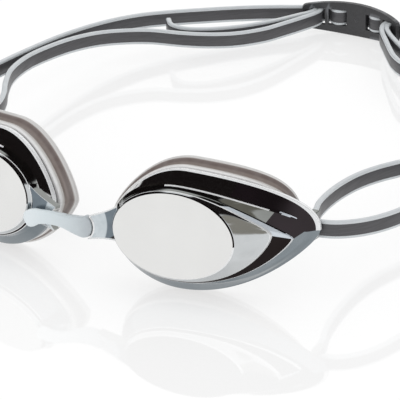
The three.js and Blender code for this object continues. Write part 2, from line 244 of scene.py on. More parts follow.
def bracket_material():
    """The bracket's sunk front, with reflection and shade painted by place: pale by the nose piece, blue-grey
    towards the cup, black at its foot.
    """
    middle_height = 0.0214
    pale_bend = 60.0
    pale_edge = (0.0113, 0.0117)
    foot_slope = -1.2
    foot_edge = (0.0158, 0.0162)
    material, tree, shader = new_material("mirror_bracket_painted", Metallic=0.5)
    place = tree.add("SeparateXYZ", {"Vector": tree.add("TexCoord").outputs["Object"]})
    out = tree.add("Math", {0: place.outputs["X"]}, operation="ABSOLUTE").outputs[0]
    up = tree.add("Math", {0: place.outputs["Z"], 1: middle_height}, operation="SUBTRACT").outputs[0]
    bow = tree.add("Math", {0: up, 1: up}, operation="MULTIPLY").outputs[0]
    bent = tree.add("Math", {0: bow, 1: pale_bend, 2: out}, operation="MULTIPLY_ADD").outputs[0]
    foot = tree.add("Math", {0: up, 1: foot_slope, 2: out}, operation="MULTIPLY_ADD").outputs[0]
    cloud = tree.span(tree.noise(500, 4), 0.3, 0.7)
    # Painted reflection and shade, by place on the bracket.
    pale = tree.mix(cloud, (0.6, 0.65, 0.68, 1), (0.52, 0.57, 0.6, 1))
    grey = tree.mix(cloud, (0.17, 0.21, 0.24, 1), (0.14, 0.17, 0.2, 1))
    tone = tree.mix(tree.span(bent, *pale_edge), pale, grey)
    link(
        tree, shader,
        Base_Color=tree.mix(tree.span(foot, *foot_edge), tone, (0.02, 0.018, 0.018, 1)),
        Roughness=tree.span(cloud, 0.0, 1.0, 0.14, 0.22),
        Normal=tree.bump(tree.noise(3200, 2), 0.06, 0.00002),
    )
    return material


def smoke_material():
    """The bare inside of the cup: smoke-tinted polycarbonate, glossy, with a moulded haze."""
    material, tree, shader = new_material("smoke_inside", Coat_Weight=0.6, Coat_Roughness=0.04)
    haze = tree.noise(160, 4)
    link(
        tree, shader,
        Base_Color=tree.ramp(haze, [(0.3, (0.028, 0.03, 0.034)), (0.7, (0.055, 0.055, 0.06))]),
        Roughness=tree.span(haze, 0.3, 0.7, 0.1, 0.2),
        Normal=tree.bump(tree.noise(2400, 2), 0.05, 0.00002),
    )
    return material


def gasket_material():
    """Silicone, with light and shade painted across its profile: a highlight on the light lip against the
    flange, shade in the taupe groove and highlights on the pearly sealing rim.
    The colour follows the mesh's own measure of the way round its profile."""
    material, tree, shader = new_material("gasket_silicone", Coat_Weight=0.35, Coat_Roughness=0.12)
    across = tree.add("Attribute", attribute_name="profile").outputs["Fac"]
    # Painted highlights and shade across the profile, over the silicone's own tone.
    shade = tree.ramp(across, [
        (0.0, (0.7, 0.69, 0.68)),
        (0.16, (0.82, 0.82, 0.82)),
        (0.25, (0.5, 0.48, 0.46)),
        (0.31, (0.17, 0.135, 0.12)),
        (0.4, (0.26, 0.215, 0.195)),
        (0.5, (0.16, 0.125, 0.115)),
        (0.55, (0.34, 0.3, 0.28)),
        (0.6, (0.74, 0.74, 0.73)),
        (0.65, (0.5, 0.48, 0.47)),
        (0.72, (0.82, 0.82, 0.81)),
        (1.0, (0.6, 0.58, 0.56)),
    ])
    dust = tree.noise(420, 5)
    link(
        tree, shader,
        Base_Color=tree.mix(tree.span(dust, 0.35, 0.75, 0.0, 0.16), shade, (0.42, 0.4, 0.39, 1)),
        Roughness=tree.span(dust, 0.3, 0.7, 0.28, 0.42),
        Normal=tree.bump(tree.noise(3000, 3), 0.12, 0.00003),
    )
    return material


def nose_material():
    """Milky blue-white elastomer with a frosted skin, and painted shade that makes it greyer towards its
    right end.
    """
    left_end, right_end = -0.0155, 0.008
    material, tree, shader = new_material("nose_tpu", Coat_Weight=0.4, Coat_Roughness=0.18)
    cloud = tree.noise(240, 4)
    place = tree.add("SeparateXYZ", {"Vector": tree.add("TexCoord").outputs["Object"]}).outputs["X"]
    # Painted shade, deepening from the left-hand end to the right-hand end.
    along = tree.ramp(tree.span(place, left_end, right_end), [
        (0.0, (0.74, 0.8, 0.83)),
        (0.25, (0.66, 0.73, 0.76)),
        (0.6, (0.56, 0.62, 0.65)),
        (0.85, (0.42, 0.46, 0.49)),
        (1.0, (0.3, 0.33, 0.35)),
    ])
    link(
        tree, shader,
        Base_Color=tree.mix(tree.span(cloud, 0.3, 0.7, 0.0, 0.2), along, (0.74, 0.79, 0.81, 1)),
        Roughness=tree.span(cloud, 0.3, 0.7, 0.26, 0.4),
        Normal=tree.bump(tree.noise(3600, 3), 0.14, 0.00003),
    )
    return material


def band_material(name, light, dark, roughness):
    """Silicone band: a matt skin with fine lengthwise marks and a little dust."""
    material, tree, shader = new_material(name, Coat_Weight=0.15, Coat_Roughness=0.3)
    streaks = tree.noise(160, 5, stretch=(1, 1, 14))
    dust = tree.noise(2600, 3)
    colour = tree.mix(tree.span(streaks, 0.3, 0.7), (*light, 1), (*dark, 1))
    dusty = (*(1.6 * np.array(light)), 1)
    link(
        tree, shader,
        Base_Color=tree.mix(tree.span(dust, 0.62, 0.8, 0.0, 0.25), colour, dusty),
        Roughness=tree.span(streaks, 0.3, 0.7, roughness, roughness + 0.12),
        Normal=tree.bump(dust, 0.2, 0.00004),
    )
    return material


def clip_material():
    """Satin black plastic with a fine spark-eroded grain, paler on its sharp edges."""
    material, tree, shader = new_material("clip_plastic", Coat_Weight=0.1, Coat_Roughness=0.3)
    grain = tree.noise(1800, 4)
    edge = tree.span(tree.add("NewGeometry").outputs["Pointiness"], 0.52, 0.6)
    body = tree.ramp(grain, [(0.3, (0.024, 0.024, 0.026)), (0.7, (0.04, 0.04, 0.043))])
    link(
        tree, shader,
        Base_Color=tree.mix(edge, body, (0.13, 0.135, 0.145, 1)),
        Roughness=tree.span(grain, 0.3, 0.7, 0.32, 0.48),
        Normal=tree.bump(grain, 0.25, 0.00005),
    )
    return material


MATERIALS = {
    # The cup's mirror copies differ only in brightness and tint, by region: they paint the reflections and
    # shade that each region shows.
    "face": mirror_material("mirror_face", (0.775, 0.775, 0.765), (0.75, 0.75, 0.74), 0.1),
    "facet": mirror_material("mirror_facet", (0.6, 0.62, 0.63), (0.53, 0.55, 0.56), 0.05),
    # A painted highlight: the pale blue glints on the temple side of the cup.
    "bright": mirror_material("mirror_bright_painted_highlight", (0.62, 0.67, 0.72), (0.56, 0.6, 0.65), 0.1, metallic=0.2),
    "wall": mirror_material("mirror_wall", (0.3, 0.31, 0.3), (0.24, 0.25, 0.24), 0.06),
    "taupe": mirror_material("mirror_taupe", (0.42, 0.4, 0.37), (0.36, 0.34, 0.31), 0.1),
    # Painted dark reflection on the face's upper edge and the lower wall between the ridges, and painted
    # shadow round the bracket's seat.
    "dark": mirror_material("mirror_painted_dark", (0.022, 0.018, 0.018), (0.016, 0.012, 0.012), 0.08),
    # Painted dark reflection on the temple's upper wall.
    "temple": mirror_material(
        "mirror_temple_painted_dark", (0.026, 0.018, 0.022), (0.018, 0.013, 0.015), 0.1, metallic=0.6),
    # A painted highlight on the upper rim of the flange: nearly matt, so that it shows white.
    "pale": mirror_material("mirror_pale_painted_highlight", (0.78, 0.79, 0.8), (0.74, 0.75, 0.76), 0.3, metallic=0.0),
    "flange": mirror_material("mirror_flange", (0.5, 0.5, 0.5), (0.44, 0.44, 0.44), 0.06),
    "band": mirror_material("mirror_band", (0.26, 0.29, 0.31), (0.21, 0.24, 0.26), 0.12),
    # The rounded edges' painted highlight line.
    "ridge": ridge_highlight_material(),
    "bracket": bracket_material(),
    "inside": smoke_material(),
    "gasket": gasket_material(),
    "nose": nose_material(),
    "band_face": band_material("band_face", (0.075, 0.074, 0.08), (0.055, 0.054, 0.058), 0.38),
    # The band's rounded edges: pale with a painted highlight.
    "band_edge_highlight": band_material("band_edge_highlight", (0.6, 0.63, 0.65), (0.55, 0.58, 0.6), 0.3),
    "clip": clip_material(),
}


# --- meshes ---------------------------------------------------------------------------------------

def make_piece(name, points, faces, materials, body, face_materials=None, sharp=28):
    """A mesh from front-frame points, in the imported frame, riding on its body. face_materials gives
    each face's place in materials, and sharp the angle in degrees from which an edge stays sharp."""
    mesh = bpy.data.meshes.new(name)
    mesh.from_pydata([tuple(p) for p in transformed(points, TO_FRAME)], [], [tuple(f) for f in faces])
    for material in materials:
        mesh.materials.append(MATERIALS[material])
    if face_materials is not None:
        mesh.polygons.foreach_set("material_index", np.asarray(face_materials, np.int32))
    outward_normals(mesh)
    mesh.shade_smooth()
    mesh.set_sharp_from_angle(angle=math.radians(sharp))
    piece = bpy.data.objects.new(name, mesh)
    bpy.context.scene.collection.objects.link(piece)
    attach(piece, body)
    return piece


def outward_normals(mesh):
    shape = bmesh.new()
    shape.from_mesh(mesh)
    bmesh.ops.recalc_face_normals(shape, faces=shape.faces)
    shape.to_mesh(mesh)
    shape.free()


def bevel(piece, width, angle=35):
    """Rounds the edges sharper than an angle in degrees."""
    modifier = piece.modifiers.new("soft_edges", "BEVEL")
    modifier.width = width * MM
    modifier.segments = 3
    modifier.limit_method = "ANGLE"
    modifier.angle_limit = math.radians(angle)
    modifier.harden_normals = True


def rounded_profile(corners, radii, closed, arc_steps=4):
    """Rounds each corner of a profile of rings. corners is (ring, step, 3). Returns the new rings and,
    for each, its place along the profile: a whole number at a corner's middle, and a half more all
    along the flat that follows the corner."""
    rows = []
    places = []
    count = len(corners)
    for i in range(count):
        if not closed and i in (0, count - 1):
            rows.append(corners[i])
            places.append(float(i))
        else:
            before = towards(corners[i], corners[i - 1], radii[i])
            after = towards(corners[i], corners[(i + 1) % count], radii[i])
            for step in range(arc_steps + 1):
                share = step / arc_steps
                first = before + (corners[i] - before) * share
                second = corners[i] + (after - corners[i]) * share
                rows.append(first + (second - first) * share)
                places.append(i + CORNER_SPAN * (share - 0.5))
        if closed or i < count - 1:
            rows.append(None)
            places.append(i + 0.5)
    return fill_flats(rows, places)


def towards(corner, neighbour, distance):
    """The ring at this distance from a corner towards its neighbour, but short of half-way."""
    most = 0.45
    gap = neighbour - corner
    length = np.linalg.norm(gap, axis=1, keepdims=True)
    return corner + gap * np.minimum(distance / np.maximum(length, 1e-9), most)


def fill_flats(rows, places):
    """Puts evenly spaced rings where a None stands between two corners."""
    filled = []
    marks = []
    for i, row in enumerate(rows):
        if row is not None:
            filled.append(row)
            marks.append(places[i])
            continue
        start = rows[i - 1]
        end = rows[(i + 1) % len(rows)]
        for step in range(1, FLAT_STEPS):
            share = step / FLAT_STEPS
            filled.append(start + (end - start) * share)
            marks.append(places[i])
    return np.array(filled), np.array(marks)


def loft_faces(row_count, steps, closed):
    """Faces between neighbouring rings, and from the last ring to the first one in a closed loft."""
    faces = []
    for i in range(row_count if closed else row_count - 1):
        j = (i + 1) % row_count
        for step in range(steps):
            after = (step + 1) % steps
            faces.append((i * steps + step, j * steps + step, j * steps + after, i * steps + after))
    return faces


def capped_faces(row_count, steps):
    """The faces of an open loft, then one flat face over each of its ends."""
    last = (row_count - 1) * steps
    ends = [tuple(range(steps)), tuple(range(last, last + steps))]
    return loft_faces(row_count, steps, closed=False) + ends


# --- outlines round an eye cup --------------------------------------------------------------------

def ring(nose, temple, top, bottom, depth, sharp=(0, 0, 0, 0), lift=0.0, lift_power=4):
    """A closed outline in the cup's plane. sharp draws the quarters temple top, nose top, nose bottom
    and temple bottom from an ellipse towards a pointed arc. lift raises the temple end. depth is how
    far back it lies at the nose, over the middle and at the temple."""
    angle = np.linspace(0, 2 * math.pi, RING_STEPS, endpoint=False)
    across = np.cos(angle)
    upright = np.sin(angle)
    on_temple = across >= 0
    quarter = np.where(upright >= 0, np.where(on_temple, 0, 1), np.where(on_temple, 3, 2))
    reach = np.where(on_temple, temple, nose)
    height = np.where(upright >= 0, top, bottom)
    pointed = np.array(sharp)[quarter]
    raised = np.where(on_temple, lift * np.abs(across) ** lift_power, 0)
    end_depth = np.where(on_temple, depth[2], depth[0])
    u = reach * across
    v = height * upright * (1 - pointed + pointed * np.abs(upright)) + raised
    d = depth[1] + (end_depth - depth[1]) * across * across
    return np.stack([u, v, d], axis=1)


def cup_to_front(points, side):
    """From the cup's plane, across, up and back, to the front frame: wrapped round the face a little."""
    u, v, d = points[..., 0], points[..., 1], points[..., 2]
    x = FACE_CENTRE_X + u * math.cos(CUP_WRAP) - d * math.sin(CUP_WRAP)
    y = u * math.sin(CUP_WRAP) + d * math.cos(CUP_WRAP)
    return np.stack([side * x, y, v], axis=-1)


FLANGE_SHAPE = {"sharp": (0.16, 0.6, 0.05, 0.6), "lift_power": 2}
LIP_SHAPE = {"sharp": (0, 0.6, 0.2, 0.6), "lift_power": 2}
GASKET_SHAPE = {"sharp": (-0.15, 0.62, 0.7, 0.3), "lift_power": 2}
FIRST_RIDGE = {"sharp": (0.6, 0, 0, 0.35), "lift": 4.2}
SECOND_RIDGE = {"sharp": (0.8, 0, 0, 0.7), "lift": 3.5}
SHOULDER = {"sharp": (0.1, 0, 0, 0.55), "lift": 6}


def cup_rings():
    """The cup's profile from the lens face over the ridges and the flange to the inside of the lens:
    each ring, the radius of its edge, the materials of the surface that follows it, above and below
    the line through its temple end, and other materials for stretches of the upper one, by angle."""
    rear = FLANGE_FRONT + FLANGE_THICKNESS
    # The surfaces' materials paint light by region: highlights on the ridge, bright and pale stretches, dark
    # reflections on the dark and temple ones.
    return [
        (ring(19.5, 19.5, 12.9, 12.9, (0, 0, 0)), 0.1, "dark", "ridge"),
        (ring(19.8, 19.9, 13.2, 13.2, (0.5, 0.5, 0.6)), 0.12, "facet", "facet"),
        (ring(20.4, 29.5, 13.4, 13.8, (1.4, 1.2, 4), **FIRST_RIDGE), 0.12, "ridge", "ridge"),
        (ring(20.5, 29.8, 13.5, 13.9, (1.6, 1.5, 5.2), **FIRST_RIDGE), 0.12, "wall", "dark",
         (0, 62, "bright")),
        (ring(20.9, 35, 13.7, 14.4, (2.2, 2.2, 8), **SECOND_RIDGE), 0.12, "wall", "ridge",
         (0, 20, "bright")),
        (ring(21, 35.3, 13.8, 14.5, (2.5, 2.5, 8.8), **SECOND_RIDGE), 0.12, "wall", "band",
         (0, 40, "temple")),
        (ring(21.3, 38.2, 14.5, 14.8, (3.3, 3.4, 9.4), **SHOULDER), 0.1, "wall", "band",
         (0, 44, "temple"), (27, 35, "bright"), (44, 104, "ridge")),
        (ring(21.5, 38.6, 14.9, 14.9, (3.6, 3.8, 9.6), **SHOULDER), 0.1, "wall", "band",
         (0, 60, "temple"), (23, 38, "bright"), (60, 130, "taupe")),
        (ring(21.7, 39, 15.5, 15.1, (4, 4.4, 9.8), **SHOULDER), 0.2, "flange", "band",
         (0, 66, "temple")),
        (ring(23.5, 41.2, 18.7, 18, (7.6, 7.6, 11.6), lift=6.4, **FLANGE_SHAPE), 0.2, "pale", "band"),
        (ring(23.5, 42.2, 19, 18.3, FLANGE_FRONT, lift=6.5, **FLANGE_SHAPE), 0.35, "ridge", "band"),
        (ring(23.5, 42.2, 19, 18.3, rear, lift=6.5, **FLANGE_SHAPE), 0.35, "inside", "inside"),
        (ring(20.3, 33.5, 16, 15.4, rear, lift=5, **FLANGE_SHAPE), 0.5, "inside", "inside"),
        (ring(18, 18.3, 11.4, 11.4, (1.8, 1.8, 1.8)), 0.5, "inside", "inside"),
    ]


CUP_MATERIALS = [
    "face", "facet", "ridge", "wall", "taupe", "dark",
    "temple", "bright", "pale", "flange", "band", "inside",
]


def disc(rim, shares):
    """Flat rings inside a rim, each a share of its size."""
    centre = rim.mean(axis=0)
    return [centre + (rim - centre) * share for share in shares]


def cup_surfaces(entries, places):
    """The material number of every face between neighbouring rings of the cup's profile."""
    angle = np.degrees((np.arange(RING_STEPS) + 0.5) * 2 * math.pi / RING_STEPS)
    surfaces = []
    for place in places:
        _, _, above, below, *stretches = entries[int(place + CORNER_SPAN)]
        names = np.where(angle < 180, above, below).astype(object)
        for low, high, name in stretches:
            names[(angle >= low) & (angle < high)] = name
        surfaces.append([CUP_MATERIALS.index(name) for name in names])
    return surfaces


def make_cup(side_name):
    """One shell from the middle of the lens's face over its edge, and inside to the middle again."""
    side = SIDES[side_name]
    entries = cup_rings()
    corners = np.array([entry[0] for entry in entries])
    rows, places = rounded_profile(corners, [entry[1] for entry in entries], closed=False)
    shares = (0.02, 0.25, 0.5, 0.75, 0.97, 0.995)
    face, inside = (np.full(RING_STEPS, CUP_MATERIALS.index(name)) for name in ("face", "inside"))
    surfaces = [face] * len(shares) + cup_surfaces(entries, places) + [inside] * (len(shares) - 1)
    rows = np.concatenate([disc(corners[0], shares), rows, disc(corners[-1], shares[::-1])])
    faces = capped_faces(len(rows), RING_STEPS)
    indices = np.append(np.concatenate(surfaces), [face[0], inside[0]])
    points = cup_to_front(rows, side).reshape(-1, 3)
    cup = make_piece(
        f"{side_name}_cup_shell", points, faces, CUP_MATERIALS, f"{side_name}_cup",
        indices, sharp=20)
    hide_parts(f"{side_name}_eye_cup")


# --- strap bar and nose bracket -------------------------------------------------------------------

def box_points(low, high):
    """A box's corners, in the order that BOX_FACES takes them."""
    return [(x, y, z) for x in (low[0], high[0]) for y in (low[1], high[1]) for z in (low[2], high[2])]


BOX_FACES = [(0, 1, 3, 2), (4, 6, 7, 5), (0, 4, 5, 1), (2, 3, 7, 6), (0, 2, 6, 4), (1, 5, 7, 3)]


def make_strap_bar(side_name):
    """A round bar behind the temple with a lug above and below the band."""
    side = SIDES[side_name]
    lug_inner = BAND_WIDTH / 2 + 0.5
    lug_outer = lug_inner + 1.1
    lug_half_width = 1.2
    lug_reach = 5.1
    bar_end = [0, 0, lug_inner + 0.3]
    bar_steps = 32
    angles = np.linspace(0, 2 * math.pi, bar_steps, endpoint=False)
    circle = np.stack([BAR_RADIUS * np.cos(angles), BAR_RADIUS * np.sin(angles), 0 * angles], axis=1)
    points = np.concatenate([circle - bar_end, circle + bar_end])
    faces = capped_faces(2, bar_steps)
    for sign in (-1, 1):
        near, far = sorted((sign * lug_inner, sign * lug_outer))
        first = len(points)
        lug = box_points((-lug_half_width, -lug_reach, near), (lug_half_width, BAR_RADIUS, far))
        points = np.concatenate([points, lug])
        faces += [tuple(first + corner for corner in face) for face in BOX_FACES]
    turned = transformed(points, Matrix.Translation(BAR_CENTRE) @ BAND_TILT)
    turned[:, 0] *= side
    bar = make_piece(
        f"{side_name}_strap_bar", turned, faces, ["wall"], f"{side_name}_cup")
    bevel(bar, 0.3)


def quadratic(start, control, end, steps):
    """Points along a quadratic Bezier curve."""
    share = np.linspace(0, 1, steps + 1)[:, None]
    start, control, end = (np.array(p, float) for p in (start, control, end))
    return (1 - share) ** 2 * start + 2 * share * (1 - share) * control + share ** 2 * end


def arc(centre, radius, start, end, steps):
    angle = np.radians(np.linspace(start, end, steps + 1))
    return np.stack([centre[0] + radius * np.cos(angle), centre[1] + radius * np.sin(angle)], axis=1)


SEAT_CENTRE = (4.0, -3.2)
NOSE_END_RADIUS = 3.6
SEAT_RADIUS = NOSE_END_RADIUS + 0.35


def make_bracket(side_name):
    """A forked plate on the cup's nose side, with a round seat at its end."""
    side = SIDES[side_name]
    seat_half_angle = 56
    tip_x = 5
    front_root_x, back_root_x = 16.3, 14.6
    outline = np.concatenate([
        quadratic((front_root_x, 6), (11.6, 2.8), (6.3, 0.8), 12),
        arc(SEAT_CENTRE, SEAT_RADIUS, seat_half_angle, -seat_half_angle, 24),
        quadratic((6.4, -6.8), (11.5, -5.2), (front_root_x, -5), 12),
    ])
    front_y = np.interp(outline[:, 0], [tip_x, 12.2, front_root_x], [-1.5, -1.9, -1.9])
    back_x = np.minimum(outline[:, 0], back_root_x)
    back_y = np.interp(back_x, [tip_x, back_root_x], [1.0, 1.2])
    front = np.stack([outline[:, 0], front_y, outline[:, 1]], axis=1)
    back = np.stack([back_x, back_y, outline[:, 1]], axis=1)
    points = np.concatenate([front, back])
    points[:, 0] *= side
    bracket = make_piece(
        f"{side_name}_nose_bracket", points, capped_faces(2, len(outline)),
        ["wall", "ridge", "dark", "bracket"], f"{side_name}_cup")
    sink_front(bracket, rim=0.4, depth=0.3)
    bevel(bracket, 0.16)


def sink_front(bracket, rim, depth):
    """Sinks the front of the bracket inside a raised rim with a painted highlight, and paints shadow round
    the right-hand one's seat.
    """
    rim_painted_highlight, seat_painted_shadow, sunk_front = 1, 2, 3
    shape = bmesh.new()
    shape.from_mesh(bracket.data)
    front = min((f for f in shape.faces if len(f.verts) > 4), key=lambda f: f.calc_center_median().y)
    ring_faces = bmesh.ops.inset_region(
        shape, faces=[front], thickness=rim * MM, depth=-depth * MM, use_even_offset=True)["faces"]
    # The rim's painted highlight.
    for face in ring_faces:
        face.material_index = rim_painted_highlight
    front.material_index = sunk_front
    # Painted shadow round the seat, where the nose piece's end sits.
    seat = TO_FRAME @ Vector((SEAT_CENTRE[0], 0, SEAT_CENTRE[1]))
    for face in shape.faces:
        if face not in ring_faces and face.calc_center_median().y > front.calc_center_median().y:
            from_seat = face.calc_center_median() - seat
            if abs(math.hypot(from_seat.x, from_seat.z) - SEAT_RADIUS * MM) < 0.5 * MM:
                face.material_index = seat_painted_shadow
    shape.to_mesh(bracket.data)
    shape.free()


# --- gasket ---------------------------------------------------------------------------------------

def make_gasket(side_name):
    """A closed ring behind the flange, with a waist between its lip and its sealing rim."""
    side = SIDES[side_name]
    lip = FLANGE_FRONT + FLANGE_THICKNESS + GASKET_GAP

    def at(share):
        return lip + (SEAL_DEPTH - lip) * share

    corners = np.array([
        ring(20.4, 30.8, 15.9, 15.2, lip, lift=5, **LIP_SHAPE),
        ring(24.4, 34.4, 19.2, 17.6, lip, lift=6.4, **LIP_SHAPE),
        ring(24.8, 34.8, 19.7, 18, at(0.22), lift=6.6, **LIP_SHAPE),
        ring(24, 33.6, 19, 17.3, at(0.42), lift=6.4, **GASKET_SHAPE),
        ring(25.2, 34.2, 20.4, 18.5, at(0.62), lift=7, **GASKET_SHAPE),
        ring(26.4, 34.8, 21.4, 19.5, at(0.8), lift=7, **GASKET_SHAPE),
        ring(26.2, 34.6, 21.2, 19.3, at(1), lift=7, **GASKET_SHAPE),
        ring(20.6, 28.4, 15.6, 14.4, at(1), lift=6, **GASKET_SHAPE),
    ])
    radii = [0.4, 0.4, 0.5, 0.7, 0.6, 0.6, 0.6, 0.6]
    rows, places = rounded_profile(corners, radii, closed=True, arc_steps=5)
    faces = loft_faces(len(rows), RING_STEPS, closed=True)
    points = cup_to_front(rows, side).reshape(-1, 3)
    gasket = make_piece(
        f"{side_name}_gasket_seal", points, faces, ["gasket"], f"{side_name}_cup",
        sharp=50)
    profile = gasket.data.attributes.new("profile", "FLOAT", "POINT")
    profile.data.foreach_set("value", np.repeat(places / len(corners), RING_STEPS).astype(np.float32))
    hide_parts(f"{side_name}_gasket")


# --- nose piece -----------------------------------------------------------------------------------

def nose_outline():
    """The nose piece seen from the front: its top and its bottom edge, each from right to left."""
    seat_x, seat_z = SEAT_CENTRE
    left_tip = (-15.3, -2.4)
    top = np.concatenate([
        arc(SEAT_CENTRE, NOSE_END_RADIUS, 0, 81, 14),
        quadratic((seat_x, -0.2), (1, -0.7), (-2.4, -0.9), 8),
        quadratic((-2.4, -0.9), (-6.8, -0.2), (-11.7, -0.3), 10),
        quadratic((-11.7, -0.3), (-14.6, -0.7), left_tip, 12),
    ])
    bottom = np.concatenate([
        arc(SEAT_CENTRE, NOSE_END_RADIUS, 0, -90, 14),
        quadratic((seat_x, seat_z - NOSE_END_RADIUS), (1.5, -6.6), (-2, -5.2), 8),
        quadratic((-2, -5.2), (-7, -3.9), (-10.6, -5.1), 10),
        quadratic((-10.6, -5.1), (-12.2, -6.6), (-13.6, -6.2), 8),
        quadratic((-13.6, -6.2), (-15.4, -4.6), left_tip, 12),
    ])
    return top, bottom


def nose_sections(steps):
    """Rounded sections of the nose piece, closest together at its two ends."""
    section_count = 110
    right_end, left_end = SEAT_CENTRE[0] + NOSE_END_RADIUS, -15.29
    turn = np.linspace(0.001, math.pi, section_count)
    x = (right_end + left_end) / 2 + (right_end - left_end) / 2 * np.cos(turn)
    top, bottom = nose_outline()
    high = np.interp(-x, -top[:, 0], top[:, 1])
    low = np.interp(-x, -bottom[:, 0], bottom[:, 1])
    front = np.interp(x, [-16, -10, -4, 2, 8], [-5.7, -4.9, -3.3, -2.3, -1.9])
    back = np.interp(x, [-16, -10, -6.2, -3.6, 0, 8], [-3.8, -2.9, -1.6, 0.2, 1.1, 0.9])
    angle = np.linspace(0, 2 * math.pi, steps, endpoint=False)
    squareness = 0.45
    thin_end = 0.9
    dish_from, dish_to = -10.5, -12
    dish_depth, dish_half_height = 0.3, 0.72
    along_y = np.sign(np.cos(angle)) * np.abs(np.cos(angle)) ** squareness
    along_z = np.sign(np.sin(angle)) * np.abs(np.sin(angle)) ** squareness
    on_front = along_y < -0.5
    dish = dish_depth * on_front * np.maximum(0, 1 - (along_z / dish_half_height) ** 2)
    sections = []
    for i in range(section_count):
        half_z = max((high[i] - low[i]) / 2, 0.02)
        half_y = (back[i] - front[i]) / 2 * min(1, half_z / thin_end) ** 0.5
        dished = dish * smooth_between(dish_from, dish_to, x[i])
        y = (front[i] + back[i]) / 2 + half_y * along_y + dished
        z = (high[i] + low[i]) / 2 + half_z * along_z
        sections.append(np.stack([np.full(steps, x[i]), y, z], axis=1))
    return sections


def make_nose_piece():
    """A lofted strip, with a shallow dish in its front at the left-hand end."""
    steps = 40
    sections = nose_sections(steps)
    nose = make_piece(
        "nose_bridge", np.concatenate(sections), capped_faces(len(sections), steps), ["nose"], "nose",
        sharp=60)
    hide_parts("nose_piece")


def smooth_between(low, high, value):
    """0 at low and 1 at high, with an even start and finish. low may be the larger."""
    share = min(1, max(0, (value - low) / (high - low)))
    return share * share * (3 - 2 * share)


# --- bands ----------------------------------------------------------------------------------------

# The outer strands run outside the clip's plate, with this much room between them and it.
CLIP_CLEARANCE = 0.8
OUTSIDE_CLIP = CLIP_THICKNESS / 2 + CLIP_CLEARANCE + BAND_THICKNESS / 2

# Routes in the plane of the bands, from the clip round the outside to the temple, from the temple
# along the inside back to the clip, and from the clip along the free tail.
OUTER = {
    "right": [
        (30, 150.4), (48, 139.4), (64, 125.8), (76, 109.6), (84, 91.4), (89, 71.2), (91.2, 50),
        (91, 31.8), (89.6, 19.1), (87.6, 12.5), (85.2, 7.6), (82.4, 3.8), (79.3, 0.9), (76, -1),
    ],
    "left": [
        (-37.6, 153.8), (-48, 146.4), (-57.7, 138.2), (-66.4, 130.4), (-73.4, 122.6), (-80, 110.4),
        (-84.8, 93.4), (-87, 75.2), (-88, 58), (-88.4, 42), (-87.8, 28.4), (-86.8, 18.4),
        (-85.2, 12.4), (-83.2, 7.6), (-80.8, 3.8), (-78.4, 1), (-75.6, -1),
    ],
}
INNER = {
    "right": [
        (67.8, 4.6), (65.8, 10.4), (64.5, 18.6), (64.3, 27.7), (65.3, 35.8), (67.7, 43.4),
        (71.7, 51.5), (76.4, 60), (80.6, 69), (83.2, 77.8), (82, 87.4), (77, 99), (70, 109.2),
        (61, 117), (50, 122), (38, 125.2), (30.2, 127.4), (24.4, 131.8), (19.4, 137.6),
        (14.2, 144.2), (9.4, 150.4), (6.7, 155.2), (5.9, 158.4), (6.2, 160.7),
    ],
    "left": [
        (-67.8, 4.6), (-65.8, 10.4), (-65, 18.6), (-66.2, 27.7), (-69.8, 35.8), (-75.4, 44.6),
        (-80.8, 55.4), (-83.4, 68), (-82.8, 79.4), (-80.4, 90.4), (-76, 99.6), (-69.4, 106.4),
        (-61.4, 111.4), (-50.2, 114.6), (-42, 118), (-34.2, 123.6), (-28, 132.4), (-24.4, 142.8),
        (-22, 151), (-20.9, 155.6), (-20.7, 158.6), (-21.2, 160.7),
    ],
}
TAIL = {
    "right": [
        (8.1, 159.9), (7.6, 158.2), (8.5, 155.2), (11, 151.8), (15.2, 147.4), (21.4, 141.8),
        (29.6, 135), (38.4, 130.8), (46.8, 128.2), (52.8, 129),
    ],
    "left": [
        (-23.1, 159.9), (-22.5, 158.2), (-23.1, 155.2), (-24.9, 151.2), (-27.2, 145.8),
        (-30.4, 139.4), (-36.6, 130.4), (-44.4, 123), (-51.8, 119.2), (-58, 120), (-62.2, 124.2),
    ],
}


def clip_point(s, t):
    """s runs along the clip's arc and t outwards from the middle of its plate."""
    angle = s / CLIP_RADIUS
    return (
        CLIP_CENTRE_X + (CLIP_RADIUS + t) * math.sin(angle),
        CLIP_BACK_Q - CLIP_RADIUS + (CLIP_RADIUS + t) * math.cos(angle),
    )


def fold_points(side):
    """Round the strap bar, from its front to its inner side."""
    angles = [math.radians(angle) for angle in (-75, -105, -135, -165, -190)]
    return [
        (side * (BAR_CENTRE.x + BAND_FOLD_RADIUS * math.cos(a)), BAND_FOLD_RADIUS * math.sin(a))
        for a in angles
    ]


def strand_route(side_name):
    side = SIDES[side_name]
    start = [clip_point(side * s, OUTSIDE_CLIP) for s in (2.2, 8, 14, 20)]
    return start + OUTER[side_name] + fold_points(side) + INNER[side_name]


def pad_route(side_name):
    """The bow of band that the clip's window holds."""
    side = SIDES[side_name]
    bow = ((4.9, 1.5), (5.5, 0.6), (6.4, -0.1), (7.4, -0.35), (8.4, -0.1), (9.3, 0.6), (9.9, 1.5))
    return [clip_point(side * s, t) for s, t in bow]


ROUTE_SPACING = 0.8
SPAN_STEPS = 24


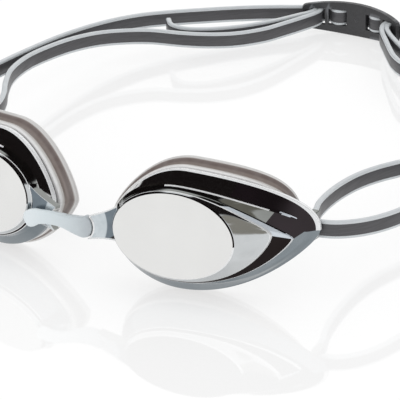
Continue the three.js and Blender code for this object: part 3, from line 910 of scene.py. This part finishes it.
def smooth_route(points):
    """A centripetal Catmull-Rom curve through the points, sampled evenly: places and directions."""
    control = np.array(points, float)
    first = 2 * control[0] - control[1]
    last = 2 * control[-1] - control[-2]
    control = np.vstack([first, control, last])
    dense = [control[1]]
    for i in range(1, len(control) - 2):
        dense.extend(catmull_span(control[i - 1:i + 3]))
    dense = np.array(dense)
    length = np.concatenate([[0], np.cumsum(np.linalg.norm(np.diff(dense, axis=0), axis=1))])
    count = max(8, round(length[-1] / ROUTE_SPACING))
    at = np.linspace(0, length[-1], count + 1)
    places = np.stack([np.interp(at, length, dense[:, k]) for k in (0, 1)], axis=1)
    directions = np.gradient(places, axis=0)
    directions /= np.linalg.norm(directions, axis=1, keepdims=True)
    return places, directions


def catmull_span(control):
    """The curve between the second and the third of four control points, by the Barry-Goldman rule."""
    knots = np.concatenate([[0], np.cumsum(np.linalg.norm(np.diff(control, axis=0), axis=1) ** 0.5)])
    t0, t1, t2, t3 = knots
    p0, p1, p2, p3 = control
    span = []
    for t in np.linspace(t1, t2, SPAN_STEPS + 1)[1:]:
        a1 = (t1 - t) / (t1 - t0) * p0 + (t - t0) / (t1 - t0) * p1
        a2 = (t2 - t) / (t2 - t1) * p1 + (t - t1) / (t2 - t1) * p2
        a3 = (t3 - t) / (t3 - t2) * p2 + (t - t2) / (t3 - t2) * p3
        b1 = (t2 - t) / (t2 - t0) * a1 + (t - t0) / (t2 - t0) * a2
        b2 = (t3 - t) / (t3 - t1) * a2 + (t - t1) / (t3 - t1) * a3
        span.append((t2 - t) / (t2 - t1) * b1 + (t - t1) / (t2 - t1) * b2)
    return span


# The width of the highlight painted along each edge of the band.
EDGE_HIGHLIGHT_WIDTH = 0.9
BAND_EDGE_RADIUS = 0.45


def band_section():
    """Half-thickness and across-width offsets round the band, and where its pale edges start: a highlight
    painted along each rounded edge.
    """
    half_width = BAND_WIDTH / 2
    half_thick = BAND_THICKNESS / 2
    highlight_from = half_width - EDGE_HIGHLIGHT_WIDTH
    groove_depth, groove_half_width = 0.07, 0.12
    groove = [
        (half_thick, highlight_from - groove_half_width),
        (half_thick - groove_depth, highlight_from),
        (half_thick, highlight_from + groove_half_width),
    ]
    corner = [
        (half_thick - BAND_EDGE_RADIUS * (1 - math.cos(a)), half_width - BAND_EDGE_RADIUS * (1 - math.sin(a)))
        for a in np.radians([0, 22.5, 45, 67.5, 90])
    ]
    quarter = [(half_thick, 0)] + groove + corner
    mirrored_quarter = [(-t, w) for t, w in reversed(quarter)]
    upper = quarter + mirrored_quarter
    lower = [(t, -w) for t, w in reversed(upper)][1:-1]
    return np.array(upper + lower), highlight_from


def sweep(places, directions, section):
    """The section carried along a route in the plane of the bands."""
    across = np.stack([-directions[:, 1], directions[:, 0]], axis=1)
    rows = []
    for place, normal in zip(places, across):
        flat = place + np.outer(section[:, 0], normal)
        rows.append(np.column_stack([flat, section[:, 1]]))
    return np.array(rows)


def make_band(side_name, body):
    """One half-band: its strand round the strap bar, its free tail, and the bow in the window."""
    section, highlight_from = band_section()
    steps = len(section)
    middle = (section + np.roll(section, -1, axis=0)) / 2
    # Faces that take the painted edge highlight.
    pale = (np.abs(middle[:, 1]) > highlight_from).astype(int)
    points = []
    faces = []
    indices = []
    for route in (strand_route(side_name), TAIL[side_name], pad_route(side_name)):
        rows = sweep(*smooth_route(route), section)
        first = len(points)
        points.extend(rows.reshape(-1, 3))
        faces += [tuple(first + v for v in face) for face in capped_faces(len(rows), steps)]
        indices += [*np.tile(pale, len(rows) - 1), 0, 0]
    band = make_piece(
        f"{side_name}_band", transformed(points, BAND_PLANE), faces, ["band_face", "band_edge_highlight"], body,
        indices, sharp=40)
    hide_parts(f"{side_name}_strap")


# --- rear clip ------------------------------------------------------------------------------------

# Points up a column of the plate, and which of the faces between them an opening leaves out.
CLIP_ROWS = 7
OPEN_ROWS = (2, 3)


def clip_half_height(s):
    """The plate's half height: tallest in the middle, with rounded ends."""
    rise = (CLIP_MIDDLE_HEIGHT - CLIP_END_HEIGHT) / 2
    half = CLIP_END_HEIGHT / 2 + rise * (1 - (s / CLIP_HALF_LENGTH) ** 2)
    corner = 1.4
    into_corner = abs(s) - (CLIP_HALF_LENGTH - corner)
    if into_corner > 0:
        half -= corner - math.sqrt(max(0, corner ** 2 - into_corner ** 2))
    return half


def clip_columns():
    """Places along the clip: fine steps, the edges of every opening, and its rounded ends."""
    edges = [side * opening[key] for side in (-1, 1) for opening in (WINDOW, SLOT) for key in ("near", "far")]
    plain = list(np.linspace(-CLIP_HALF_LENGTH, CLIP_HALF_LENGTH, 61))
    rounded = [side * (CLIP_HALF_LENGTH - drop) for side in (-1, 1) for drop in (0.02, 0.1, 0.25, 0.45)]
    closest = 0.2
    kept = [s for s in plain if all(abs(s - edge) > closest for edge in edges + rounded)]
    return sorted(edges + kept + rounded + [-CLIP_HALF_LENGTH, CLIP_HALF_LENGTH])


def in_opening(s):
    """The window or slot at this place along the clip, or None."""
    return next((o for o in (WINDOW, SLOT) if o["near"] < abs(s) < o["far"]), None)


def clip_hole_half(s):
    """The half height where the plate's inner rows run: an opening's edge, eased between openings."""
    return np.interp(
        abs(s), [WINDOW["far"], SLOT["near"], CLIP_HALF_LENGTH],
        [WINDOW["height"] / 2, SLOT["height"] / 2, CLIP_END_HEIGHT / 2 - 1])


def clip_points(columns):
    """The plate's inner face and then its outer one: a row of CLIP_ROWS heights at each column."""
    least_rim = 0.35
    points = []
    for t in (-CLIP_THICKNESS / 2, CLIP_THICKNESS / 2):
        for s in columns:
            outer = clip_half_height(s)
            inner = min(clip_hole_half(s), outer - least_rim)
            heights = (-outer, -(outer + inner) / 2, -inner, 0, inner, (outer + inner) / 2, outer)
            points += [(*clip_point(s, t), height) for height in heights]
    return points


def clip_quads(columns):
    """The faces of one side of the plate, without those across its openings."""
    quads = []
    for i in range(len(columns) - 1):
        opening = in_opening((columns[i] + columns[i + 1]) / 2)
        for j in range(CLIP_ROWS - 1):
            if not (opening and j in OPEN_ROWS):
                corner = i * CLIP_ROWS + j
                quads.append((corner, corner + 1, corner + CLIP_ROWS + 1, corner + CLIP_ROWS))
    return quads


def open_edges(quads):
    """The edges that belong to one face only, in the direction that the face has them."""
    edges = {}
    for quad in quads:
        for edge in zip(quad, quad[1:] + quad[:1]):
            key = frozenset(edge)
            edges[key] = None if key in edges else edge
    return [edge for edge in edges.values() if edge]


def drop_unused(points, faces):
    """The same faces without the points that none of them has."""
    used = sorted({v for face in faces for v in face})
    renumber = {old: new for new, old in enumerate(used)}
    return [points[v] for v in used], [tuple(renumber[v] for v in face) for face in faces]


def make_clip():
    """The curved plate that holds both half-bands, with two windows and two slots."""
    columns = clip_columns()
    layer = len(columns) * CLIP_ROWS
    quads = clip_quads(columns)
    faces = quads + [tuple(layer + v for v in reversed(quad)) for quad in quads]
    faces += [(b, a, layer + a, layer + b) for a, b in open_edges(quads)]
    points, faces = drop_unused(clip_points(columns), faces)
    clip = make_piece(
        "clip_plate", transformed(points, BAND_PLANE), faces, ["clip"], "right_band")
    bevel(clip, 0.14, angle=50)
    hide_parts("rear_clip")
    make_gate_mark()


def make_gate_mark():
    """The small round mark in the middle of the clip's inner side, where its mould was filled."""
    radius, height, steps = 0.75, 0.22, 40
    angles = np.linspace(0, 2 * math.pi, steps, endpoint=False)
    x, q = clip_point(0, -CLIP_THICKNESS / 2)
    rows = []
    for share in (1, 0.92, 0.75, 0.4, 0.05):
        lift = height * math.sqrt(1 - share ** 2)
        rows.append(np.stack([
            x + radius * share * np.cos(angles), np.full(steps, q - lift), radius * share * np.sin(angles),
        ], axis=1))
    sunk_base = rows[0] + [0, 0.3, 0]
    rows.insert(0, sunk_base)
    points = transformed(np.concatenate(rows), BAND_PLANE)
    faces = capped_faces(len(rows), steps)
    make_piece("clip_gate_mark", points, faces, ["clip"], "right_band")


# --- studio ---------------------------------------------------------------------------------------

WHITE = (1, 1, 1, 1)
BLACK = (0.012, 0.009, 0.009, 1)
TAUPE = (0.34, 0.32, 0.28, 1)

# Each flag's colour, its azimuth and elevation, and the radii where its edge starts and ends, in
# degrees.
FLAGS = [
    (TAUPE, 22, 40, 10, 13),
    (TAUPE, 20, 22, 9, 12),
    (BLACK, -108, 24, 24, 30),
    (BLACK, -104, 44, 14, 20),
    (BLACK, 126, 36, 28, 34),
]
CEILING_EDGE = (0.72, 0.8)


def studio_patch(tree, direction, azimuth, elevation, inner, outer):
    """1 inside a round patch of sky and 0 outside it. Azimuth 0 is -Y and 90 is +X, in degrees."""
    across, up = math.radians(azimuth), math.radians(elevation)
    centre = (math.sin(across) * math.cos(up), -math.cos(across) * math.cos(up), math.sin(up))
    facing = tree.add("VectorMath", {0: direction, 1: centre}, operation="DOT_PRODUCT").outputs["Value"]
    edges = (math.cos(math.radians(angle)) for angle in (outer, inner))
    return tree.span(facing, *edges, smooth=True)


def make_world():
    """White all round to the eye and for soft light. Mirrors also see taupe flags in front, black ones
    at the sides and behind, and a black ceiling."""
    world = bpy.data.worlds.new("studio")
    bpy.context.scene.world = world
    world.use_nodes = True
    world.node_tree.nodes.clear()
    tree = Tree(world.node_tree)
    direction = tree.add("TexCoord").outputs["Generated"]
    height = tree.add("SeparateXYZ", {"Vector": direction}).outputs["Z"]
    mirrored = WHITE
    for colour, *patch in FLAGS:
        mirrored = tree.mix(studio_patch(tree, direction, *patch), mirrored, colour)
    mirrored = tree.mix(tree.span(height, *CEILING_EDGE, smooth=True), mirrored, BLACK)
    glossy = tree.add("LightPath").outputs["Is Glossy Ray"]
    background = tree.add("Background", {"Color": tree.mix(glossy, WHITE, mirrored), "Strength": 1.0})
    output = tree.add("OutputWorld")
    tree.links.new(background.outputs[0], output.inputs["Surface"])


def make_floor():
    """A plain white gloss table."""
    half_size = 4.0
    mesh = bpy.data.meshes.new("floor")
    corners = [(x * half_size, y * half_size, 0) for x, y in ((-1, -1), (1, -1), (1, 1), (-1, 1))]
    mesh.from_pydata(corners, [], [(0, 1, 2, 3)])
    material = bpy.data.materials.new("white_table")
    material.use_nodes = True
    material.node_tree.nodes.clear()
    tree = Tree(material.node_tree)
    diffuse = tree.add("BsdfDiffuse", {"Color": (0.3, 0.3, 0.3, 1)})
    glossy = tree.add("BsdfGlossy", {"Color": (0.1, 0.1, 0.1, 1), "Roughness": 0.03})
    glow = tree.add("Emission", {"Color": (1, 1, 1, 1), "Strength": 0.62})
    body = tree.add("AddShader", {0: diffuse.outputs[0], 1: glossy.outputs[0]})
    total = tree.add("AddShader", {0: body.outputs[0], 1: glow.outputs[0]})
    output = tree.add("OutputMaterial")
    tree.links.new(total.outputs[0], output.inputs["Surface"])
    mesh.materials.append(material)
    floor = bpy.data.objects.new("floor", mesh)
    bpy.context.scene.collection.objects.link(floor)


# --- build ----------------------------------------------------------------------------------------

make_camera()
bpy.context.scene.view_settings.view_transform = "Standard"
make_world()
make_floor()
for side_name in SIDES:
    make_cup(side_name)
    make_strap_bar(side_name)
    make_bracket(side_name)
    make_gasket(side_name)
make_nose_piece()
make_band("right", "right_band")
make_band("left", "left_band")
make_clip()
